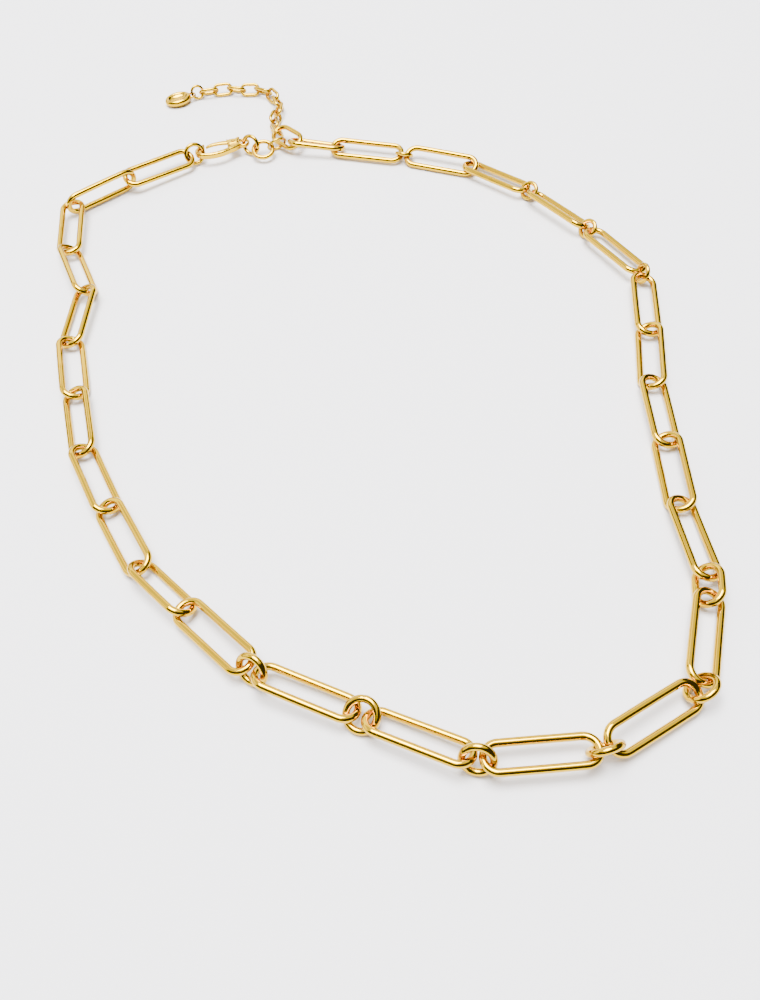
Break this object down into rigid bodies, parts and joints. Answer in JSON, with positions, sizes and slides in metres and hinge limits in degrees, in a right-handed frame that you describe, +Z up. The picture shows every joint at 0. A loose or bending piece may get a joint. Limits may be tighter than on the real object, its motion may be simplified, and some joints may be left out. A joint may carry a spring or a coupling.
{
  "type": "chain necklace",
  "caption": "Gold paperclip chain necklace laid flat in a loop, with round joining rings, a lobster clasp and a short extender chain with an oval tag.",
  "frame": {"origin": "centre of the bounding box in X and Y, on the surface the chain lies on", "axes": "+Z up from the table; +Y from the front of the loop towards the clasp; +X to the wearer's left as the loop lies, from the side with the long hooked run to the side with the small rings"},
  "size_m": [0.1244, 0.1841, 0.0058],
  "materials": {
    "polished_gold": "mirror-polished yellow gold plating over brass",
    "clasp_fittings": "satin gold-plated rivet and leaf spring"
  },
  "bodies": {
    "link_01": {"link_01": "polished_gold"},
    "link_02": {"link_02": "polished_gold"},
    "link_03": {"link_03": "polished_gold"},
    "link_04": {"link_04": "polished_gold"},
    "link_05": {"link_05": "polished_gold"},
    "link_06": {"link_06": "polished_gold"},
    "link_07": {"link_07": "polished_gold"},
    "link_08": {"link_08": "polished_gold"},
    "link_09": {"link_09": "polished_gold"},
    "link_10": {"link_10": "polished_gold"},
    "link_11": {"link_11": "polished_gold"},
    "link_12": {"link_12": "polished_gold"},
    "round_ring_1": {"round_ring_1": "polished_gold"},
    "link_13": {"link_13": "polished_gold"},
    "round_ring_2": {"round_ring_2": "polished_gold"},
    "link_14": {"link_14": "polished_gold"},
    "round_ring_3": {"round_ring_3": "polished_gold"},
    "link_15": {"link_15": "polished_gold"},
    "round_ring_4": {"round_ring_4": "polished_gold"},
    "link_16": {"link_16": "polished_gold"},
    "round_ring_5": {"round_ring_5": "polished_gold"},
    "oval_link": {"oval_link": "polished_gold"},
    "link_17": {"link_17": "polished_gold"},
    "link_18": {"link_18": "polished_gold"},
    "link_19": {"link_19": "polished_gold"},
    "link_20": {"link_20": "polished_gold"},
    "link_21": {"link_21": "polished_gold"},
    "link_22": {"link_22": "polished_gold"},
    "small_ring_1": {"small_ring_1": "polished_gold"},
    "link_23": {"link_23": "polished_gold"},
    "small_ring_2": {"small_ring_2": "polished_gold"},
    "link_24": {"link_24": "polished_gold"},
    "small_ring_3": {"small_ring_3": "polished_gold"},
    "link_25": {"link_25": "polished_gold"},
    "link_26": {"link_26": "polished_gold"},
    "small_ring_4": {"small_ring_4": "polished_gold"},
    "link_27": {"link_27": "polished_gold"},
    "claw_ring": {"claw_ring": "polished_gold"},
    "clasp_body": {"clasp_body": "polished_gold", "clasp_rivet": "clasp_fittings", "clasp_spring": "clasp_fittings"},
    "clasp_lever": {"clasp_lever": "polished_gold"},
    "connector": {"connector": "polished_gold"},
    "thin_ring": {"thin_ring": "polished_gold"},
    "middle_ring": {"middle_ring": "polished_gold"},
    "eye_ring": {"eye_ring": "polished_gold"},
    "extender_01": {"extender_01": "polished_gold"},
    "extender_02": {"extender_02": "polished_gold"},
    "extender_03": {"extender_03": "polished_gold"},
    "extender_04": {"extender_04": "polished_gold"},
    "extender_05": {"extender_05": "polished_gold"},
    "extender_06": {"extender_06": "polished_gold"},
    "extender_07": {"extender_07": "polished_gold"},
    "extender_08": {"extender_08": "polished_gold"},
    "extender_09": {"extender_09": "polished_gold"},
    "extender_10": {"extender_10": "polished_gold"},
    "extender_11": {"extender_11": "polished_gold"},
    "tag_ring": {"tag_ring": "polished_gold"},
    "tag": {"tag": "polished_gold"}
  },
  "joints": [
    {"name": "link_01_hinge", "type": "hinge", "parent": "link_02", "child": "link_01", "pos_m": [-0.04792, 0.05263, 0.00309], "axis": [0.8479, 0.5298, -0.0181], "range_deg": [0, 9]},
    {"name": "link_02_hinge", "type": "hinge", "parent": "link_03", "child": "link_02", "pos_m": [-0.05956, 0.04386, 0.00309], "axis": [0.8256, 0.5642, -0.0096], "range_deg": [-9, 0]},
    {"name": "link_03_hinge", "type": "hinge", "parent": "link_04", "child": "link_03", "pos_m": [-0.05854, 0.02935, 0.00221], "axis": [0.6091, 0.7929, 0.0143], "range_deg": [-9, 0]},
    {"name": "link_04_hinge", "type": "hinge", "parent": "link_05", "child": "link_04", "pos_m": [-0.05309, 0.01585, 0.00221], "axis": [0.3874, 0.9218, 0.0117], "range_deg": [0, 9]},
    {"name": "link_05_hinge", "type": "hinge", "parent": "link_06", "child": "link_05", "pos_m": [-0.05435, 0.00134, 0.0017], "axis": [0, 0, 1], "range_deg": [0, 24]},
    {"name": "link_06_hinge", "type": "hinge", "parent": "link_07", "child": "link_06", "pos_m": [-0.05133, -0.01291, 0.00177], "axis": [0, 0, 1], "range_deg": [0, 24]},
    {"name": "link_07_hinge", "type": "hinge", "parent": "link_08", "child": "link_07", "pos_m": [-0.04805, -0.02711, 0.00177], "axis": [0, 0, 1], "range_deg": [0, 23]},
    {"name": "link_08_hinge", "type": "hinge", "parent": "link_09", "child": "link_08", "pos_m": [-0.04189, -0.04031, 0.00174], "axis": [0, 0, 1], "range_deg": [0, 20]},
    {"name": "link_09_hinge", "type": "hinge", "parent": "link_10", "child": "link_09", "pos_m": [-0.03505, -0.05317, 0.00208], "axis": [0, 0, 1], "range_deg": [0, 18]},
    {"name": "link_10_hinge", "type": "hinge", "parent": "link_11", "child": "link_10", "pos_m": [-0.02709, -0.06171, 0.00208], "axis": [0, 0, 1], "range_deg": [0, 17]},
    {"name": "link_11_hinge", "type": "hinge", "parent": "link_12", "child": "link_11", "pos_m": [-0.01604, -0.07356, 0.00307], "axis": [0, 0, 1], "range_deg": [0, 15]},
    {"name": "link_12_hinge", "type": "hinge", "parent": "link_13", "child": "link_12", "pos_m": [0.00001, -0.08139, 0.00215], "axis": [0, 0, 1], "range_deg": [0, 15]},
    {"name": "round_ring_1_hinge", "type": "hinge", "parent": "link_12", "child": "round_ring_1", "pos_m": [-0.01604, -0.07356, 0.00307], "axis": [0, 0, 1], "range_deg": [0, 7.5]},
    {"name": "link_13_hinge", "type": "hinge", "parent": "link_14", "child": "link_13", "pos_m": [0.01593, -0.0895, 0.00304], "axis": [0, 0, 1], "range_deg": [0, 15]},
    {"name": "round_ring_2_hinge", "type": "hinge", "parent": "link_13", "child": "round_ring_2", "pos_m": [0.00001, -0.08139, 0.00215], "axis": [0, 0, 1], "range_deg": [0, 7.5]},
    {"name": "round_ring_3_hinge", "type": "hinge", "parent": "link_14", "child": "round_ring_3", "pos_m": [0.01593, -0.0895, 0.00304], "axis": [0, 0, 1], "range_deg": [0, 7.5]},
    {"name": "link_15_hinge", "type": "hinge", "parent": "link_14", "child": "link_15", "pos_m": [0.03381, -0.08887, 0.00296], "axis": [0, 0, 1], "range_deg": [-15, 0]},
    {"name": "round_ring_4_hinge", "type": "hinge", "parent": "link_14", "child": "round_ring_4", "pos_m": [0.03381, -0.08887, 0.00296], "axis": [0, 0, 1], "range_deg": [-7.5, 0]},
    {"name": "link_16_hinge", "type": "hinge", "parent": "link_15", "child": "link_16", "pos_m": [0.04945, -0.08021, 0.00239], "axis": [0, 0, 1], "range_deg": [-15, 0]},
    {"name": "round_ring_5_hinge", "type": "hinge", "parent": "link_15", "child": "round_ring_5", "pos_m": [0.04945, -0.08021, 0.00239], "axis": [0, 0, 1], "range_deg": [-7.5, 0]},
    {"name": "oval_link_hinge", "type": "hinge", "parent": "link_16", "child": "oval_link", "pos_m": [0.05439, -0.06502, 0.0021], "axis": [0, 0, 1], "range_deg": [-15, 0]},
    {"name": "link_17_hinge", "type": "hinge", "parent": "oval_link", "child": "link_17", "pos_m": [0.0553, -0.06031, 0.0021], "axis": [0, 0, 1], "range_deg": [-15, 0]},
    {"name": "link_18_hinge", "type": "hinge", "parent": "link_17", "child": "link_18", "pos_m": [0.05432, -0.0463, 0.0017], "axis": [0, 0, 1], "range_deg": [-15, 0]},
    {"name": "link_19_hinge", "type": "hinge", "parent": "link_18", "child": "link_19", "pos_m": [0.05506, -0.03227, 0.0017], "axis": [0, 0, 1], "range_deg": [-16, 0]},
    {"name": "link_20_hinge", "type": "hinge", "parent": "link_19", "child": "link_20", "pos_m": [0.05555, -0.01823, 0.00181], "axis": [0, 0, 1], "range_deg": [-17, 0]},
    {"name": "link_21_hinge", "type": "hinge", "parent": "link_20", "child": "link_21", "pos_m": [0.05775, -0.00435, 0.00181], "axis": [0, 0, 1], "range_deg": [-18, 0]},
    {"name": "link_22_hinge", "type": "hinge", "parent": "link_21", "child": "link_22", "pos_m": [0.05968, 0.01141, 0.00234], "axis": [0, 0, 1], "range_deg": [-19, 0]},
    {"name": "small_ring_1_hinge", "type": "hinge", "parent": "link_21", "child": "small_ring_1", "pos_m": [0.05968, 0.01141, 0.00234], "axis": [0, 0, 1], "range_deg": [-9.5, 0]},
    {"name": "link_23_hinge", "type": "hinge", "parent": "link_22", "child": "link_23", "pos_m": [0.05136, 0.02706, 0.00198], "axis": [0, 0, 1], "range_deg": [-22, 0]},
    {"name": "small_ring_2_hinge", "type": "hinge", "parent": "link_22", "child": "small_ring_2", "pos_m": [0.05136, 0.02706, 0.00198], "axis": [0, 0, 1], "range_deg": [-11, 0]},
    {"name": "link_24_hinge", "type": "hinge", "parent": "link_23", "child": "link_24", "pos_m": [0.04094, 0.04141, 0.00198], "axis": [0, 0, 1], "range_deg": [-24, 0]},
    {"name": "small_ring_3_hinge", "type": "hinge", "parent": "link_23", "child": "small_ring_3", "pos_m": [0.04094, 0.04141, 0.00198], "axis": [0, 0, 1], "range_deg": [-12, 0]},
    {"name": "link_25_hinge", "type": "hinge", "parent": "link_24", "child": "link_25", "pos_m": [0.02913, 0.05204, 0.00177], "axis": [0, 0, 1], "range_deg": [-24, 0]},
    {"name": "link_26_hinge", "type": "hinge", "parent": "link_25", "child": "link_26", "pos_m": [0.0144, 0.05799, 0.00177], "axis": [-0.9974, 0.0694, 0.0209], "range_deg": [0, 9]},
    {"name": "small_ring_4_hinge", "type": "hinge", "parent": "link_25", "child": "small_ring_4", "pos_m": [0.0144, 0.05799, 0.00177], "axis": [-0.9974, 0.0694, 0.0209], "range_deg": [0, 4.5]},
    {"name": "link_27_hinge", "type": "hinge", "parent": "link_26", "child": "link_27", "pos_m": [-0.00088, 0.06237, 0.00177], "axis": [-0.9991, -0.0307, 0.0306], "range_deg": [0, 9]},
    {"name": "claw_ring_hinge", "type": "hinge", "parent": "link_01", "child": "claw_ring", "pos_m": [-0.03557, 0.06035, 0.00262], "axis": [0.9063, 0.4226, 0], "range_deg": [0, 9]},
    {"name": "clasp_body_hinge", "type": "hinge", "parent": "eye_ring", "child": "clasp_body", "pos_m": [-0.02283, 0.06497, 0.00262], "axis": [-0.951, -0.309, 0.0145], "range_deg": [0, 9]},
    {"name": "clasp_lever_hinge", "type": "hinge", "parent": "clasp_body", "child": "clasp_lever", "pos_m": [-0.02516, 0.065, 0.00262], "axis": [0, 0, 1], "range_deg": [0, 12], "stiffness_Nm_per_rad": 0.0002},
    {"name": "connector_hinge", "type": "hinge", "parent": "link_27", "child": "connector", "pos_m": [-0.01071, 0.06428, 0.00257], "axis": [-0.9921, -0.1249, 0.0094], "range_deg": [-9, 0]},
    {"name": "thin_ring_hinge", "type": "hinge", "parent": "connector", "child": "thin_ring", "pos_m": [-0.01381, 0.06527, 0.00244], "axis": [-0.9815, -0.1908, 0.0168], "range_deg": [0, 9]},
    {"name": "middle_ring_hinge", "type": "hinge", "parent": "thin_ring", "child": "middle_ring", "pos_m": [-0.01659, 0.06334, 0.00227], "axis": [-0.9931, -0.1132, 0.0297], "range_deg": [0, 9]},
    {"name": "eye_ring_hinge", "type": "hinge", "parent": "middle_ring", "child": "eye_ring", "pos_m": [-0.01961, 0.06316, 0.00247], "axis": [-0.992, -0.1245, 0.0221], "range_deg": [0, 9]},
    {"name": "extender_01_hinge", "type": "hinge", "parent": "connector", "child": "extender_01", "pos_m": [-0.01453, 0.06838, 0.00257], "axis": [0, 0, 1], "range_deg": [0, 15]},
    {"name": "extender_02_hinge", "type": "hinge", "parent": "extender_01", "child": "extender_02", "pos_m": [-0.0155, 0.07137, 0.00232], "axis": [0, 0, -1], "range_deg": [0, 15]},
    {"name": "extender_03_hinge", "type": "hinge", "parent": "extender_02", "child": "extender_03", "pos_m": [-0.0161, 0.07474, 0.00159], "axis": [0, 0, 1], "range_deg": [0, 15]},
    {"name": "extender_04_hinge", "type": "hinge", "parent": "extender_03", "child": "extender_04", "pos_m": [-0.01519, 0.07812, 0.00159], "axis": [0, 0, -1], "range_deg": [0, 15]},
    {"name": "extender_05_hinge", "type": "hinge", "parent": "extender_04", "child": "extender_05", "pos_m": [-0.01482, 0.0816, 0.00159], "axis": [0, 0, 1], "range_deg": [0, 15]},
    {"name": "extender_06_hinge", "type": "hinge", "parent": "extender_05", "child": "extender_06", "pos_m": [-0.01573, 0.08498, 0.00159], "axis": [0, 0, -1], "range_deg": [0, 15]},
    {"name": "extender_07_hinge", "type": "hinge", "parent": "extender_06", "child": "extender_07", "pos_m": [-0.01748, 0.08801, 0.00159], "axis": [0, 0, 1], "range_deg": [0, 15]},
    {"name": "extender_08_hinge", "type": "hinge", "parent": "extender_07", "child": "extender_08", "pos_m": [-0.02051, 0.08976, 0.00159], "axis": [0, 0, -1], "range_deg": [0, 15]},
    {"name": "extender_09_hinge", "type": "hinge", "parent": "extender_08", "child": "extender_09", "pos_m": [-0.02401, 0.08988, 0.00159], "axis": [0, 0, 1], "range_deg": [0, 15]},
    {"name": "extender_10_hinge", "type": "hinge", "parent": "extender_09", "child": "extender_10", "pos_m": [-0.02739, 0.09079, 0.00159], "axis": [0, 0, -1], "range_deg": [0, 15]},
    {"name": "extender_11_hinge", "type": "hinge", "parent": "extender_10", "child": "extender_11", "pos_m": [-0.03088, 0.09048, 0.00159], "axis": [0, 0, 1], "range_deg": [0, 15]},
    {"name": "tag_ring_hinge", "type": "hinge", "parent": "extender_11", "child": "tag_ring", "pos_m": [-0.03432, 0.08987, 0.00159], "axis": [0, 0, 1], "range_deg": [0, 15]},
    {"name": "tag_hinge", "type": "hinge", "parent": "tag_ring", "child": "tag", "pos_m": [-0.03678, 0.08903, 0.00192], "axis": [0, 0, -1], "range_deg": [0, 15]}
  ],
  "couplings": [
    {"joint": "round_ring_1_hinge", "follows": "link_11_hinge", "ratio": 0.5},
    {"joint": "round_ring_2_hinge", "follows": "link_12_hinge", "ratio": 0.5},
    {"joint": "round_ring_3_hinge", "follows": "link_13_hinge", "ratio": 0.5},
    {"joint": "round_ring_4_hinge", "follows": "link_15_hinge", "ratio": 0.5},
    {"joint": "round_ring_5_hinge", "follows": "link_16_hinge", "ratio": 0.5},
    {"joint": "small_ring_1_hinge", "follows": "link_22_hinge", "ratio": 0.5},
    {"joint": "small_ring_2_hinge", "follows": "link_23_hinge", "ratio": 0.5},
    {"joint": "small_ring_3_hinge", "follows": "link_24_hinge", "ratio": 0.5},
    {"joint": "small_ring_4_hinge", "follows": "link_26_hinge", "ratio": 0.5}
  ]
}
